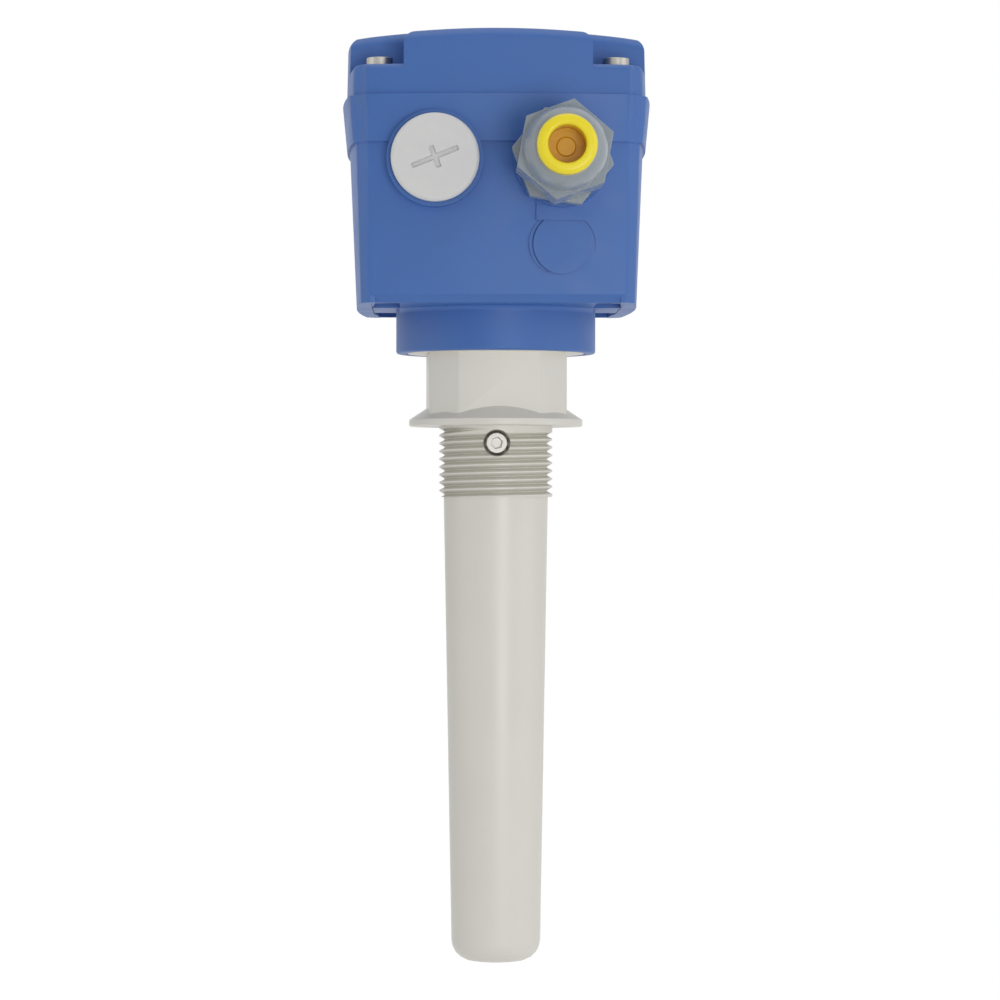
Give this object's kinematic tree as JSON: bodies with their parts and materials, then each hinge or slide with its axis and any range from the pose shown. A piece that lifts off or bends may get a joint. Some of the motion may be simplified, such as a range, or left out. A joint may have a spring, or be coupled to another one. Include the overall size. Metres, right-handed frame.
{
  "type": "capacitive level probe",
  "caption": "Capacitive level probe: plastic head with screwed lid, cable gland and blanking plug, on a pipe-threaded connection with a long tapered probe tube.",
  "frame": {"origin": "on the thread's axis, at the flange's lower sealing face", "axes": "+Z along the probe's axis towards the head, -Y towards the cable entries"},
  "size_m": [0.0896, 0.1277, 0.2707],
  "materials": {
    "housing_plastic": "fine-grained blue moulded plastic",
    "probe_plastic": "off-white moulded plastic",
    "plug_plastic": "light grey moulded plastic",
    "gland_plastic": "grey polyamide",
    "stopper_plastic": "yellow soft plastic",
    "screw_steel": "bright steel",
    "electrode_metal": "drawn tube",
    "brass_parts": "turned",
    "core_plastic": "natural white plastic",
    "seal_rubber": "black elastomer",
    "board_laminate": "green solder resist",
    "terminal_plastic": "green moulded plastic",
    "relay_plastic": "black moulded plastic",
    "capacitor_can": "drawn can",
    "led_resin": "clear red resin",
    "trimmer_plastic": "blue moulded plastic"
  },
  "bodies": {
    "connection": {"probe_body": "probe_plastic", "ground_screw": "screw_steel", "sensing_electrode": "electrode_metal", "shield_electrode": "electrode_metal", "electrode_carrier": "core_plastic", "contact_rod": "brass_parts", "ground_sleeve": "brass_parts", "neck_o_ring": "seal_rubber", "retaining_ring": "core_plastic"},
    "head": {"housing_base": "housing_plastic", "lid_gasket": "seal_rubber", "thread_inserts": "brass_parts", "circuit_board": "board_laminate", "board_screws": "screw_steel", "probe_socket": "relay_plastic", "terminal_block": "terminal_plastic", "terminal_screws": "screw_steel", "relay": "relay_plastic", "capacitor": "capacitor_can", "indicator_led": "led_resin", "trimmer_body": "trimmer_plastic", "selector_body": "relay_plastic", "plug_o_ring": "seal_rubber", "gland_o_ring": "seal_rubber", "gland_body": "gland_plastic", "gland_cage": "gland_plastic", "gland_seal": "seal_rubber", "dust_plug": "stopper_plastic"},
    "cover": {"lid": "housing_plastic", "lid_screws": "screw_steel"},
    "plug": {"blanking_plug": "plug_plastic"},
    "nut": {"gland_nut": "gland_plastic"},
    "trimmer": {"trimmer_rotor": "core_plastic"},
    "selector": {"selector_slider": "core_plastic"}
  },
  "joints": [
    {"name": "head_swivel", "type": "hinge", "parent": "connection", "child": "head", "pos_m": [0, 0, 0.0341], "axis": [0, 0, 1], "range_deg": [-170, 170]},
    {"name": "lid_lift", "type": "slide", "parent": "head", "child": "cover", "axis": [0, 0, 1], "range_m": [0, 0.06]},
    {"name": "plug_turn", "type": "hinge", "parent": "head", "child": "plug", "pos_m": [-0.0178, -0.0463, 0.0742], "axis": [0, -1, 0], "range_deg": [0, 1800]},
    {"name": "gland_nut_turn", "type": "hinge", "parent": "head", "child": "nut", "pos_m": [0.0178, -0.0601, 0.0742], "axis": [0, -1, 0], "range_deg": [0, 1080]},
    {"name": "trimmer_turn", "type": "hinge", "parent": "head", "child": "trimmer", "pos_m": [0.01944, -0.01008, 0.0557], "axis": [0, 0, 1], "range_deg": [0, 270]},
    {"name": "selector_slide", "type": "slide", "parent": "head", "child": "selector", "axis": [1, 0, 0], "range_m": [0, 0.002]}
  ]
}
